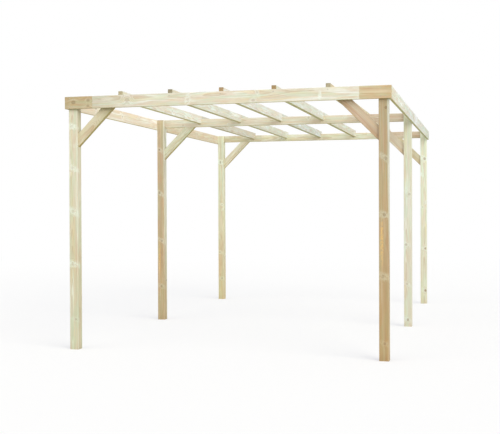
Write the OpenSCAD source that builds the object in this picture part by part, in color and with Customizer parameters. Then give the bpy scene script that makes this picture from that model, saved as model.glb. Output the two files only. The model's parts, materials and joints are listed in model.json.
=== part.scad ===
// Open timber carport frame for one car: six square posts, three cross beams, side and front
// boards, notched joists in two bays and mitred corner braces. No roof covering is fitted.
// Width runs along X, depth along Y away from the entrance, height along Z.
// The origin lies on the ground under the middle of the frame.

/* [Overall size] */
// Width across the outer faces of the posts, mm
frame_width = 3150; // [2600:10:3600]
// Height of the post tops and of the beam tops above the ground, mm
frame_height = 2500; // [2150:10:2800]
// Front bay, from the front face of a front post to that of a middle post, mm
bay_front = 2490; // [1900:10:3000]
// Back bay, from the front face of a middle post to that of a back post, mm
bay_back = 2650; // [1900:10:3000]

/* [Posts and beams] */
// Side of the square posts, mm
post_side = 90; // [80:1:120]
// Thickness of the cross beams, which stand in the middle of the posts, mm
beam_thick = 45; // [36:1:60]
// Height of each cross beam, mm
beam_height = 95; // [85:1:120]

/* [Boards] */
// Thickness of the front board and of the side rails, mm
board_thick = 28; // [20:1:38]
// Height of the front board and of the side rails, mm
board_height = 120; // [100:1:145]

/* [Joists] */
// Thickness of each joist, mm
joist_thick = 45; // [36:1:60]
// Full height of each joist, mm
joist_height = 95; // [85:1:120]
// Depth of the notch by which a joist sits down over a beam, mm
joist_notch = 55; // [35:1:60]
// Distance from joist to joist, centre to centre, mm
joist_pitch = 512; // [440:2:560]

/* [Braces] */
// Thickness of each brace, mm
brace_thick = 45; // [36:1:60]
// Width of each brace, mm
brace_width = 95; // [80:1:110]
// Reach of a brace along the post and along the beam, mm
brace_reach = 400; // [320:5:480]

/* [Finish] */
// Radius of the planed edges, mm
edge_radius = 4; // [2:0.5:6]
// Open joint between pieces that meet end to end, mm
end_gap = 2; // [1:0.5:4]

/* [Hidden] */
$fn = 48;

// Outer faces of the posts and the whole depth with the front board
half_width = frame_width / 2;
depth = board_thick + bay_front + bay_back + post_side;
// Front faces of the front, middle and back posts
y_front = -depth / 2 + board_thick;
y_middle = y_front + bay_front;
y_back = y_middle + bay_back;
// Cross beams stand in the middle of the post depth and between the posts
beam_inset = (post_side - beam_thick) / 2;
beam_length = frame_width - 2 * post_side;
joist_top = frame_height - joist_notch + joist_height;
inner_face = half_width - post_side;

pine = [0.87, 0.81, 0.62];
pine_green = [0.80, 0.80, 0.62];
pine_tan = [0.76, 0.64, 0.45];
pine_end = [0.66, 0.55, 0.34];

// Planed section with rounded edges, a wide and b high, its corner at the origin
module planed_section(a, b) {
    r = edge_radius;
    union() {
        translate([r, 0]) square([a - 2 * r, b]);
        translate([0, r]) square([a, b - 2 * r]);
        translate([r, r]) circle(r = r);
        translate([a - r, r]) circle(r = r);
        translate([r, b - r]) circle(r = r);
        translate([a - r, b - r]) circle(r = r);
    }
}

// Upright timber, its front left foot at the origin
module upright(side, height) {
    linear_extrude(height = height) planed_section(side, side);
}

// Timber lying along X from the origin, thick along Y and high along Z
module timber_x(length, thick, high) {
    translate([length, 0, 0]) rotate([0, -90, 0])
        linear_extrude(height = length) planed_section(high, thick);
}

// Timber lying along Y from the origin, thick along X and high along Z
module timber_y(length, thick, high) {
    translate([0, length, 0]) rotate([90, 0, 0])
        linear_extrude(height = length) planed_section(thick, high);
}

// One post; s is -1 for the left side and 1 for the right side
module post(s, y) {
    x = s < 0 ? -half_width : inner_face;
    translate([x, y, 0]) upright(post_side, frame_height);
}

// One cross beam between the two posts that stand at y
module cross_beam(y) {
    translate([-beam_length / 2, y + beam_inset, frame_height - beam_height])
        timber_x(beam_length, beam_thick, beam_height);
}

// One side rail on the outer faces of the posts, from y0 to y1
module side_rail(s, y0, y1) {
    x = s < 0 ? -half_width - board_thick : half_width;
    translate([x, y0, frame_height - board_height])
        timber_y(y1 - y0, board_thick, board_height);
}

// Seat cut into the underside of a joist from y0 to y1
module joist_seat(y0, y1) {
    translate([-joist_thick, y0, frame_height - joist_notch - 20])
        cube([joist_thick * 3, y1 - y0, joist_notch + 20]);
}

// Joist from y0 to y1 without its seats, its left face at x = 0
module joist_bar(y0, y1) {
    translate([0, y0, frame_height - joist_notch])
        timber_y(y1 - y0, joist_thick, joist_height);
}

// Joist of the front bay: it straddles the front beam and ends on the middle beam
module joist_front(i) {
    y_end = y_middle + post_side / 2 - end_gap / 2;
    translate([(i - 3) * joist_pitch - joist_thick / 2, 0, 0]) difference() {
        joist_bar(y_front, y_end);
        joist_seat(y_front + beam_inset, y_front + beam_inset + beam_thick);
        joist_seat(y_middle + beam_inset, y_end + 20);
    }
}

// Joist of the back bay: it starts on the middle beam and straddles the back beam
module joist_back(i) {
    y_start = y_middle + post_side / 2 + end_gap / 2;
    translate([(i - 3) * joist_pitch - joist_thick / 2, 0, 0]) difference() {
        joist_bar(y_start, y_back + post_side);
        joist_seat(y_start - 20, y_middle + beam_inset + beam_thick);
        joist_seat(y_back + beam_inset, y_back + beam_inset + beam_thick);
    }
}

// Brace at 45 degrees under a beam, mitred to the post and to the beam.
// The corner between the post and the underside of the beam is the origin.
module brace_shape() {
    middle = (brace_reach / sqrt(2) - brace_width / 2) / sqrt(2);
    intersection() {
        translate([middle, -brace_thick / 2, -middle]) rotate([0, -45, 0])
            translate([-brace_reach, 0, -brace_width / 2])
                timber_x(2 * brace_reach, brace_thick, brace_width);
        translate([0, -brace_thick, -2 * brace_reach])
            cube([2 * brace_reach, 2 * brace_thick, 2 * brace_reach]);
    }
}

// Brace beside the post at y, under the cross beam
module brace(s, y) {
    z = frame_height - beam_height;
    if (s < 0) {
        translate([-inner_face, y + post_side / 2, z]) brace_shape();
    } else {
        mirror([1, 0, 0])
            translate([-inner_face, y + post_side / 2, z]) brace_shape();
    }
}

module post_front_left() {
    color(pine_green) post(-1, y_front);
}

module post_front_right() {
    color(pine_tan) post(1, y_front);
}

module post_middle_left() {
    color(pine_tan) post(-1, y_middle);
}

module post_middle_right() {
    color(pine_green) post(1, y_middle);
}

module post_back_left() {
    color(pine_green) post(-1, y_back);
}

module post_back_right() {
    color(pine_green) post(1, y_back);
}

module front_beam() {
    color(pine) cross_beam(y_front);
}

module middle_beam() {
    color(pine) cross_beam(y_middle);
}

module back_beam() {
    color(pine) cross_beam(y_back);
}

// Board across the front, over the ends of both side rails
module front_board() {
    length = frame_width + 2 * board_thick;
    color(pine) translate([-length / 2, y_front - board_thick, frame_height - board_height])
        timber_x(length, board_thick, board_height);
}

module rail_front_left() {
    color(pine) side_rail(-1, y_front, y_middle + post_side / 2 - end_gap / 2);
}

module rail_front_right() {
    color(pine_green) side_rail(1, y_front, y_middle + post_side / 2 - end_gap / 2);
}

module rail_back_left() {
    color(pine) side_rail(-1, y_middle + post_side / 2 + end_gap / 2, y_back + post_side);
}

module rail_back_right() {
    color(pine_green) side_rail(1, y_middle + post_side / 2 + end_gap / 2, y_back + post_side);
}

module joist_front_1() {
    color(pine_green) joist_front(1);
}

module joist_front_2() {
    color(pine_green) joist_front(2);
}

module joist_front_3() {
    color(pine_green) joist_front(3);
}

module joist_front_4() {
    color(pine_green) joist_front(4);
}

module joist_front_5() {
    color(pine_green) joist_front(5);
}

module joist_back_1() {
    color(pine_green) joist_back(1);
}

module joist_back_2() {
    color(pine_green) joist_back(2);
}

module joist_back_3() {
    color(pine_green) joist_back(3);
}

module joist_back_4() {
    color(pine_green) joist_back(4);
}

module joist_back_5() {
    color(pine_green) joist_back(5);
}

module brace_front_left() {
    color(pine_tan) brace(-1, y_front);
}

module brace_front_right() {
    color(pine_tan) brace(1, y_front);
}

module brace_middle_left() {
    color(pine_tan) brace(-1, y_middle);
}

module brace_middle_right() {
    color(pine_tan) brace(1, y_middle);
}

module brace_back_left() {
    color(pine_tan) brace(-1, y_back);
}

module brace_back_right() {
    color(pine_tan) brace(1, y_back);
}

post_front_left();
post_front_right();
post_middle_left();
post_middle_right();
post_back_left();
post_back_right();
front_beam();
middle_beam();
back_beam();
front_board();
rail_front_left();
rail_front_right();
rail_back_left();
rail_back_right();
joist_front_1();
joist_front_2();
joist_front_3();
joist_front_4();
joist_front_5();
joist_back_1();
joist_back_2();
joist_back_3();
joist_back_4();
joist_back_5();
brace_front_left();
brace_front_right();
brace_middle_left();
brace_middle_right();
brace_back_left();
brace_back_right();
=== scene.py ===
"""Finishes, screws, studio and camera for an open timber carport frame.

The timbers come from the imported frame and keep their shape. Each one gets a planed,
pressure-treated pine finish of its own, whose growth rings, grain and knots are worked out
in the timber's own directions. The screws that hold the frame are added as meshes.
Lengths are in metres, and each colour is written as it looks in plain light.
"""

import json
import logging
import math
from dataclasses import dataclass, field
from enum import Enum
from typing import Any, Iterable, Optional, Sequence, Union

import bpy
import numpy as np
from mathutils import Matrix, Vector

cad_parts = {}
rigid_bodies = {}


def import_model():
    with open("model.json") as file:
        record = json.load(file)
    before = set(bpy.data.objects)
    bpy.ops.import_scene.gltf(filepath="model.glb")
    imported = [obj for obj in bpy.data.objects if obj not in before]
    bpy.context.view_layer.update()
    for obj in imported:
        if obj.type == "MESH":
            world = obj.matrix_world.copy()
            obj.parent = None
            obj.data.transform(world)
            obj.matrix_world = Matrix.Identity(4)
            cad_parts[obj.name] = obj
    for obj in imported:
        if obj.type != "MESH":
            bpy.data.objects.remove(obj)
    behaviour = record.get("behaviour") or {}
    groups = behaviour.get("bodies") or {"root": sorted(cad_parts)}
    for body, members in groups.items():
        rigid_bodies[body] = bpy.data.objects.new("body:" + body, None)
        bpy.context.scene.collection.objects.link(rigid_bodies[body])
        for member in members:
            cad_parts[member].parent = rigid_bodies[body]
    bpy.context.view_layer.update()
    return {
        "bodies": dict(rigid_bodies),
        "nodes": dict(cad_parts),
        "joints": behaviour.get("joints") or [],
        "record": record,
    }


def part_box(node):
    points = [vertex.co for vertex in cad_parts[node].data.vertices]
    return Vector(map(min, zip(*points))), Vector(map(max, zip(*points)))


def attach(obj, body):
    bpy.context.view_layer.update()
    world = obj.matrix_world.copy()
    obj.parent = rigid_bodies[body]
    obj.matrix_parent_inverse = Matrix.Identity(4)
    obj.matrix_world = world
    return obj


LOG = logging.getLogger("carport")

# The posts and the beams at the front and the back of each bay
BAYS = {"front": ("front", "middle"), "back": ("middle", "back")}
# How many joists each bay has
JOISTS_IN_A_BAY = 5
# A distance from the heart of a log that no timber reaches, in metres
NO_SAPWOOD = 9.0

Socket = bpy.types.NodeSocket
Value = Union[float, Sequence[float], Socket]
Colour = tuple[float, float, float]
Triple = tuple[float, float, float]
Pair = tuple[float, float]


def linear(code: str) -> Colour:
    """Turns a display colour into the linear colour that a shader takes.

    Values up to 0.04045 are divided by 12.92. The others have 0.055 added, are divided by
    1.055 and are raised to the power of 2.4.

    Args:
        code: six hexadecimal digits, such as "DDD8BB".

    Returns:
        Red, green and blue, each between 0 and 1.
    """
    parts = np.array([int(code[i : i + 2], 16) for i in (0, 2, 4)]) / 255.0
    low = parts / 12.92
    high = ((parts + 0.055) / 1.055) ** 2.4
    return tuple(float(v) for v in np.where(parts <= 0.04045, low, high))


# ---------------------------------------------------------------------------
# Shader graphs
# ---------------------------------------------------------------------------


class Graph:
    """A short way to write the nodes of one shader tree.

    Attributes:
        NOISE_ROUGHNESS: how strong each finer noise is beside the one before.
        UNDER: number of the socket that takes the lower colour of a Mix node.
        OVER: number of the socket that takes its upper colour.
        MIXED: number of the socket that gives the mixed colour.
    """

    NOISE_ROUGHNESS = 0.55
    UNDER = 6
    OVER = 7
    MIXED = 2

    def __init__(self, tree: bpy.types.NodeTree) -> None:
        """Keeps the tree that the nodes go into."""
        self.tree = tree

    def node(self, kind: str, **settings: Any) -> bpy.types.Node:
        """Adds a node and sets its properties.

        Args:
            kind: Blender's name for the kind of node.
            settings: the properties by name.

        Returns:
            The new node.
        """
        made = self.tree.nodes.new(kind)
        for name, value in settings.items():
            setattr(made, name, value)
        return made

    def put(self, socket: Socket, value: Value) -> None:
        """Links a socket to an output, or writes a constant into it.

        Args:
            socket: the input to fill.
            value: an output to link, a number, or the parts of a vector or colour.
        """
        if isinstance(value, bpy.types.NodeSocket):
            self.tree.links.new(value, socket)
        elif socket.type == "RGBA" and len(value) == 3:
            socket.default_value = (*value, 1.0)
        else:
            socket.default_value = value

    def math(self, operation: str, *values: Value) -> Socket:
        """Works out one operation on numbers.

        Args:
            operation: its name, such as "ADD".
            values: the numbers or outputs that it takes, in order.

        Returns:
            The result.
        """
        made = self.node("ShaderNodeMath", operation=operation)
        for socket, value in zip(made.inputs, values):
            self.put(socket, value)
        return made.outputs[0]

    def times(self, a: Value, b: Value) -> Socket:
        """Multiplies two numbers."""
        return self.math("MULTIPLY", a, b)

    def vector(self, operation: str, *values: Value) -> Socket:
        """Works out one operation on vectors.

        Args:
            operation: its name, such as "ADD".
            values: the vectors or outputs that it takes, in order.

        Returns:
            The result, a number for "LENGTH" and a vector for the others.
        """
        made = self.node("ShaderNodeVectorMath", operation=operation)
        for socket, value in zip(made.inputs, values):
            self.put(socket, value)
        return made.outputs["Value" if operation == "LENGTH" else "Vector"]

    def scale(self, value: Value, factor: Value) -> Socket:
        """Multiplies a vector by one number.

        Args:
            value: the vector.
            factor: the number.

        Returns:
            The longer or shorter vector.
        """
        made = self.node("ShaderNodeVectorMath", operation="SCALE")
        self.put(made.inputs[0], value)
        self.put(made.inputs["Scale"], factor)
        return made.outputs[0]

    def split(self, value: Value) -> tuple[Socket, ...]:
        """Takes a vector apart.

        Args:
            value: the vector.

        Returns:
            Its three parts.
        """
        made = self.node("ShaderNodeSeparateXYZ")
        self.put(made.inputs[0], value)
        return tuple(made.outputs)

    def join(self, x: Value, y: Value, z: Value) -> Socket:
        """Makes a vector.

        Args:
            x: its first part.
            y: its second part.
            z: its third part.

        Returns:
            The vector.
        """
        made = self.node("ShaderNodeCombineXYZ")
        for socket, value in zip(made.inputs, (x, y, z)):
            self.put(socket, value)
        return made.outputs[0]

    def noise(self, point: Value, scale: Triple, detail: float = 2.0) -> bpy.types.Node:
        """Adds a noise whose features are 1 / scale metres long in each direction.

        Args:
            point: the place it is read at.
            scale: how many features there are to a metre, in each direction.
            detail: how many finer noises are laid over it.

        Returns:
            The noise node.
        """
        made = self.node("ShaderNodeTexNoise", noise_dimensions="3D")
        self.put(made.inputs["Vector"], self.vector("MULTIPLY", point, scale))
        made.inputs["Scale"].default_value = 1.0
        made.inputs["Detail"].default_value = detail
        made.inputs["Roughness"].default_value = self.NOISE_ROUGHNESS
        return made

    def rise(self, value: Value, low: Value, high: Value) -> Socket:
        """Goes smoothly from 0 at low to 1 at high.

        Args:
            value: what is compared.
            low: where the result leaves 0.
            high: where the result reaches 1.

        Returns:
            A mask from 0 to 1.
        """
        made = self.node("ShaderNodeMapRange", interpolation_type="SMOOTHSTEP")
        self.put(made.inputs["Value"], value)
        self.put(made.inputs["From Min"], low)
        self.put(made.inputs["From Max"], high)
        return made.outputs["Result"]

    def fall(self, value: Value, low: Value, high: Value) -> Socket:
        """Goes smoothly from 1 at low to 0 at high."""
        return self.math("SUBTRACT", 1.0, self.rise(value, low, high))

    def blend(self, amount: Value, a: Value, b: Value, kind: str = "MIX") -> Socket:
        """Lays one colour over another.

        Args:
            amount: how much of the second colour shows, from 0 to 1.
            a: the colour underneath.
            b: the colour on top.
            kind: how they join, "MIX" or "MULTIPLY".

        Returns:
            The blended colour.
        """
        made = self.node("ShaderNodeMix", data_type="RGBA", blend_type=kind)
        self.put(made.inputs["Factor"], amount)
        self.put(made.inputs[self.UNDER], a)
        self.put(made.inputs[self.OVER], b)
        return made.outputs[self.MIXED]

    def end(self, surface: Socket, kind: str = "ShaderNodeOutputMaterial") -> None:
        """Leads a shader to the tree's output.

        Args:
            surface: the shader.
            kind: Blender's name for the output node.
        """
        output = self.node(kind)
        self.put(output.inputs["Surface"], surface)


def blank_material(name: str) -> tuple[bpy.types.Material, Graph]:
    """Makes a material with an empty shader tree.

    Args:
        name: name of the material.

    Returns:
        The material and its graph.
    """
    material = bpy.data.materials.new(name)
    material.use_nodes = True
    material.node_tree.nodes.clear()
    return material, Graph(material.node_tree)


def mesh_object(
    name: str,
    points: list[list[float]],
    faces: list[list[int]],
    material: bpy.types.Material,
) -> bpy.types.Object:
    """Makes an object of one material from points and faces.

    Args:
        name: name of the object and of its mesh.
        points: the places of the corners, in metres.
        faces: the corners of each face, as point numbers.
        material: what it is made of.

    Returns:
        The object, at the origin and linked to the scene.
    """
    mesh = bpy.data.meshes.new(name)
    mesh.from_pydata(points, [], faces)
    mesh.materials.append(material)
    mesh.update()
    made = bpy.data.objects.new(name, mesh)
    bpy.context.scene.collection.objects.link(made)
    return made


class Kind(Enum):
    """What a socket of a shader group carries, as Blender's name for it."""

    NUMBER = "NodeSocketFloat"
    VECTOR = "NodeSocketVector"
    COLOUR = "NodeSocketColor"


class ShaderGroup:
    """A node group with named inputs and outputs, built once."""

    def __init__(self, name: str, inputs: dict[str, Kind], outputs: dict[str, Kind]) -> None:
        """Makes the empty group with its sockets.

        Args:
            name: what the group is called.
            inputs: each input's name and what it carries.
            outputs: each output's name and what it carries.
        """
        self.tree = bpy.data.node_groups.new(name, "ShaderNodeTree")
        for way, sockets in (("INPUT", inputs), ("OUTPUT", outputs)):
            for label, kind in sockets.items():
                self.tree.interface.new_socket(name=label, in_out=way, socket_type=kind.value)
        self.graph = Graph(self.tree)
        self.ins = self.graph.node("NodeGroupInput").outputs
        self.outs = self.graph.node("NodeGroupOutput").inputs

    def use(self, graph: Graph, values: dict[str, Value]) -> bpy.types.bpy_prop_collection:
        """Places the group in a material.

        Args:
            graph: the material's graph.
            values: each input's name and its value.

        Returns:
            The outputs of the placed group.
        """
        made = graph.node("ShaderNodeGroup", node_tree=self.tree)
        for label, value in values.items():
            graph.put(made.inputs[label], value)
        return made.outputs


class GrainGroup(ShaderGroup):
    """Growth rings, streaks and fibres of a log.

    The distance of a point from the log's wandering heart, with the log's taper added and
    divided by the width of a ring, gives the ring that it lies in. The last part of each
    ring is dark late wood. Streaks and fibres are noises stretched along the timber, which
    follow the rings.

    Attributes:
        BANDS: each band's noise scale along the timber, outwards through the rings and
            across the timber, and the noise at which the band starts and is full.
        TAPER: how much a ring's radius shrinks for each metre along the log, in metres.
        WANDER_SCALE: noise scale of the heart's wandering.
        WANDER: width of the band that the heart wanders in, in metres.
        NOISE_MIDDLE: the middle of a noise, where the heart doesn't wander.
        RIPPLE_SCALE: noise scale of the rings' ripple.
        RIPPLE: depth of that ripple, in metres.
        PUSH: how far a knot pushes the rings aside, in metres.
        SAP_EDGE: where the sapwood starts and is full, in metres from its border.
        LATE_START: parts of a ring at which the late wood starts and is full.
        LATE_STOP: parts of a ring at which the late wood fades and is over.
        SQUASH: share of the place across the timber that counts for the bands.
        BAND_DETAIL: how many finer noises the bands have.
    """

    BANDS = {
        "Streak": ((1.8, 62.0, 45.0), 0.38, 0.62),
        "Broad": ((1.6, 20.0, 15.0), 0.38, 0.62),
        "Blush": ((4.5, 48.0, 40.0), 0.45, 0.60),
        "Amber": ((3.2, 80.0, 60.0), 0.48, 0.62),
        "Fibre": ((9.0, 700.0, 700.0), 0.30, 0.70),
    }
    TAPER = 0.006
    WANDER_SCALE = (0.9, 1.0, 1.0)
    WANDER = 0.05
    NOISE_MIDDLE = (0.5, 0.5, 0.5)
    RIPPLE_SCALE = (5.0, 40.0, 40.0)
    RIPPLE = 0.004
    PUSH = 0.014
    SAP_EDGE = (-0.006, 0.008)
    LATE_START = (0.35, 0.88)
    LATE_STOP = (0.93, 1.0)
    SQUASH = 0.6
    BAND_DETAIL = 3.0

    def __init__(self) -> None:
        """Builds the group."""
        inputs = {"Point": Kind.VECTOR, "Heart": Kind.VECTOR}
        inputs |= {name: Kind.NUMBER for name in ("Ring", "Bend", "Sapwood", "Stretch")}
        outputs = {name: Kind.NUMBER for name in ("Late", "Sap", *self.BANDS)}
        super().__init__("pine_grain", inputs, outputs)
        g, ins, outs = self.graph, self.ins, self.outs
        # The heart sways as a noise along the timber does
        seed, heart_y, heart_z = g.split(ins["Heart"])
        x, y, z = g.split(ins["Point"])
        shifted = g.math("ADD", x, seed)
        wander = g.noise(g.join(shifted, 0.0, seed), self.WANDER_SCALE).outputs["Color"]
        sway = g.scale(g.vector("SUBTRACT", wander, self.NOISE_MIDDLE), self.WANDER)
        sway_y, sway_z, _ = g.split(sway)
        # Distance from the heart, with the log's taper and a ripple
        from_y = g.math("ADD", g.math("SUBTRACT", y, heart_y), sway_y)
        from_z = g.math("ADD", g.math("SUBTRACT", z, heart_z), sway_z)
        away = g.vector("LENGTH", g.join(0.0, from_y, from_z))
        far = g.math("ADD", away, g.times(x, self.TAPER))
        ripple = g.noise(ins["Point"], self.RIPPLE_SCALE).outputs["Fac"]
        rippled = g.math("MULTIPLY_ADD", ripple, self.RIPPLE, far)
        g.put(outs["Sap"], g.rise(g.math("SUBTRACT", rippled, ins["Sapwood"]), *self.SAP_EDGE))
        # Rings, pushed aside by the knots, and the late wood that ends each one
        bent = g.math("MULTIPLY_ADD", ins["Bend"], self.PUSH, rippled)
        phase = g.math("FRACT", g.math("DIVIDE", bent, ins["Ring"]))
        started = g.rise(phase, *self.LATE_START)
        g.put(outs["Late"], g.times(started, g.fall(phase, *self.LATE_STOP)))
        # Bands, read by the distance from the heart so that they follow the rings
        drawn = g.math("DIVIDE", shifted, ins["Stretch"])
        place = g.join(drawn, g.math("ADD", bent, seed), g.times(z, self.SQUASH))
        for band, (scale, low, high) in self.BANDS.items():
            cloud = g.noise(place, scale, self.BAND_DETAIL).outputs["Fac"]
            g.put(outs[band], g.rise(cloud, low, high))


class KnotGroup(ShaderGroup):
    """A branch that runs out to a face, a round spot where it meets it.

    The distance from the branch's line is measured along the timber and square to the
    branch, and divided by its radius. Inside 1 lies the core with rings of its own, at 1
    its dark rim, and the rings of the log end there and bend round it out to 3.6. A pale
    halo is drawn out slantwise across the face, and a streak of resin straight along the
    timber.

    Attributes:
        MASKS: what the group gives: the branch's core and rim, the bend of the rings round
            it, the pale halo, the streak of resin, and the plug that the log's rings stop at.
        CLIMB: how far the branch climbs along the timber for each metre outwards.
        DEPTH: how deep below the face the branch starts, in metres.
        START: stretch over which it starts, in metres.
        LENGTHEN: share of the distance along the timber that counts for the core.
        ROUGH_SCALE: noise scale of the core's outline.
        ROUGH: depth of the outline's waver, in metres.
        CORE_RING: half the width of a ring in the core, in radii.
        CORE_SWING: how fast a ring of the core darkens from its palest line to its darkest,
            for each radius.
        CORE_LEAST: how dark the palest line of a ring of the core is.
        CORE_EDGE: where the core fades and is over, in radii, as for the next four.
        PLUG_EDGE: where the log's rings stop.
        BEND_EDGE: where the rings bend less and run straight again.
        RIM_START: where the dark rim starts and is full.
        RIM_STOP: where the dark rim fades and is over.
        PLUG_GAIN: how many times the core's darkness the plug shows, up to 1.
        HALO_SPREAD: share of the distance across the timber that counts for the halo.
        HALO_EDGE: where the halo fades and is over, in radii.
        WISP_SCALE: noise scale of the wisps in the halo and the resin.
        WISP_EDGE: the noise at which a wisp starts and is full.
        WISP_DETAIL: how many finer noises the wisps have.
        RESIN_SPREAD: share of the distance along the timber that counts for the resin.
        RESIN_EDGE: where the resin fades and is over, in radii.
    """

    MASKS = ("Core", "Rim", "Bend", "Halo", "Resin", "Plug")
    CLIMB = 0.35
    DEPTH = 0.05
    START = 0.01
    LENGTHEN = 0.8
    ROUGH_SCALE = (120.0, 120.0, 120.0)
    ROUGH = 0.004
    CORE_RING = 0.13
    CORE_SWING = 2.6
    CORE_LEAST = 0.80
    CORE_EDGE = (0.80, 1.20)
    PLUG_EDGE = (0.85, 1.10)
    BEND_EDGE = (0.8, 3.6)
    RIM_START = (0.72, 1.0)
    RIM_STOP = (1.0, 1.3)
    PLUG_GAIN = 4.0
    HALO_SPREAD = 0.42
    HALO_EDGE = (1.2, 3.6)
    WISP_SCALE = (55.0, 70.0, 70.0)
    WISP_EDGE = (0.34, 0.54)
    WISP_DETAIL = 3.0
    RESIN_SPREAD = 0.07
    RESIN_EDGE = (0.3, 1.3)

    def __init__(self) -> None:
        """Builds the group."""
        inputs = {"Point": Kind.VECTOR, "Root": Kind.VECTOR}
        amounts = ("Turn", "Radius", "Dark", "Milk", "Slant", "Resin")
        inputs |= {name: Kind.NUMBER for name in amounts}
        super().__init__("pine_knot", inputs, {name: Kind.NUMBER for name in self.MASKS})
        g, ins, outs = self.graph, self.ins, self.outs
        point, radius, dark = ins["Point"], ins["Radius"], ins["Dark"]
        # Place from where the branch meets the face: outwards, aside and along the timber
        from_x, from_y, from_z = g.split(g.vector("SUBTRACT", point, ins["Root"]))
        cosine = g.math("COSINE", ins["Turn"])
        sine = g.math("SINE", ins["Turn"])
        out = g.math("MULTIPLY_ADD", from_y, cosine, g.times(from_z, sine))
        side = g.math("SUBTRACT", g.times(from_z, cosine), g.times(from_y, sine))
        climbed = g.math("MULTIPLY_ADD", out, -self.CLIMB, from_x)
        # Distance from the branch's line in radii, with an uneven outline
        rough = g.noise(point, self.ROUGH_SCALE).outputs["Fac"]
        length = g.vector("LENGTH", g.join(g.times(climbed, self.LENGTHEN), side, 0.0))
        near = g.math("DIVIDE", g.math("MULTIPLY_ADD", rough, self.ROUGH, length), radius)
        rim = g.times(g.rise(near, *self.RIM_START), g.fall(near, *self.RIM_STOP))
        # The halo and the streak of resin, both broken up into wisps
        slanted = g.math("MULTIPLY_ADD", side, ins["Slant"], climbed)
        drawn = g.vector("LENGTH", g.join(slanted, g.times(side, self.HALO_SPREAD), 0.0))
        cloud = g.noise(point, self.WISP_SCALE, self.WISP_DETAIL).outputs["Fac"]
        wisp = g.rise(cloud, *self.WISP_EDGE)
        halo = g.times(g.fall(g.math("DIVIDE", drawn, radius), *self.HALO_EDGE), wisp)
        stretched = g.vector("LENGTH", g.join(g.times(from_x, self.RESIN_SPREAD), side, 0.0))
        streak = g.fall(g.math("DIVIDE", stretched, radius), *self.RESIN_EDGE)
        # Rings of the core, how solid the plug is, and the depth that the branch starts at
        saw = g.math("PINGPONG", near, self.CORE_RING)
        rings = g.math("MULTIPLY_ADD", saw, self.CORE_SWING, self.CORE_LEAST)
        solid = g.math("MINIMUM", g.times(dark, self.PLUG_GAIN), 1.0)
        grown = g.rise(out, -self.DEPTH, -self.DEPTH + self.START)
        for name, mask, amount in (
            ("Plug", g.fall(near, *self.PLUG_EDGE), solid),
            ("Core", g.times(g.fall(near, *self.CORE_EDGE), rings), dark),
            ("Rim", rim, dark),
            ("Bend", g.fall(near, *self.BEND_EDGE), 1.0),
            ("Halo", halo, ins["Milk"]),
            ("Resin", g.times(streak, wisp), ins["Resin"]),
        ):
            g.put(outs[name], g.times(g.times(mask, amount), grown))


class FaceGroup(ShaderGroup):
    """Cut ends, planed edges and the stretch near each end of a squared timber.

    A cut end is where the normal leans along the timber. An edge is where the distances
    to both pairs of side faces are small. An underside is where the normal looks down.
    The far mask grows from 0 at the near end to 1 at the reach that it is given.

    Attributes:
        END_LEAN: lean of the normal along the timber at which a cut end starts and is full.
        EDGE: distance from an edge at which it fades and is over, in metres.
        NEAR_END: distance from an end over which its darker wood fades, in metres.
        UNDER_LEAN: upward part of the normal at which an underside fades and is over.
    """

    END_LEAN = (0.5, 0.62)
    EDGE = (0.002, 0.009)
    NEAR_END = (0.0, 0.10)
    UNDER_LEAN = (-0.70, -0.30)

    def __init__(self) -> None:
        """Builds the group."""
        places = ("Point", "Normal", "Half", "Upright Normal")
        inputs = {**{name: Kind.VECTOR for name in places}, "Reach": Kind.NUMBER}
        outputs = {name: Kind.NUMBER for name in ("End", "Edge", "Near End", "Far", "Under")}
        super().__init__("pine_faces", inputs, outputs)
        g, ins, outs = self.graph, self.ins, self.outs
        lean, _, _ = g.split(g.vector("ABSOLUTE", ins["Normal"]))
        # Distance to the nearest face in each of the timber's own directions
        room = g.vector("SUBTRACT", ins["Half"], g.vector("ABSOLUTE", ins["Point"]))
        room_x, room_y, room_z = g.split(room)
        # Place along the timber, from -1 at the near end to 1 at the far end
        share, _, _ = g.split(g.vector("DIVIDE", ins["Point"], ins["Half"]))
        _, _, upward = g.split(ins["Upright Normal"])
        g.put(outs["End"], g.rise(lean, *self.END_LEAN))
        g.put(outs["Edge"], g.fall(g.math("MAXIMUM", room_y, room_z), *self.EDGE))
        g.put(outs["Near End"], g.fall(room_x, *self.NEAR_END))
        g.put(outs["Far"], g.rise(share, -1.0, ins["Reach"]))
        g.put(outs["Under"], g.fall(upward, *self.UNDER_LEAN))


class SpliceGroup(ShaderGroup):
    """A finger joint: 1 beyond a place along the timber, 0 before it.

    The border is a triangle wave across the timber.

    Attributes:
        FINGER: half the width of a finger, in metres.
        SLOPE: length of a finger as a multiple of half its width.
        LIFT: added to the place across the timber, so that it stays above 0, in metres.
        SEAM: half the width of the border between the two lengths, in metres.
        GLUE: distance from the border at which its line fades and is over, in metres.
    """

    FINGER = 0.006
    SLOPE = 1.6
    LIFT = 1.0
    SEAM = 0.0005
    GLUE = (0.0002, 0.0009)

    def __init__(self) -> None:
        """Builds the group."""
        inputs = {"Point": Kind.VECTOR, "Along": Kind.NUMBER, "Side": Kind.NUMBER}
        outputs = {"Beyond": Kind.NUMBER, "Line": Kind.NUMBER}
        super().__init__("finger_joint", inputs, outputs)
        g, ins, outs = self.graph, self.ins, self.outs
        x, _, z = g.split(ins["Point"])
        tooth = g.math("PINGPONG", g.math("ADD", z, self.LIFT), self.FINGER)
        border = g.math("MULTIPLY_ADD", tooth, self.SLOPE, ins["Along"])
        past = g.times(g.math("SUBTRACT", x, border), ins["Side"])
        g.put(outs["Beyond"], g.rise(past, -self.SEAM, self.SEAM))
        g.put(outs["Line"], g.fall(g.math("ABSOLUTE", past), *self.GLUE))


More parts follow.
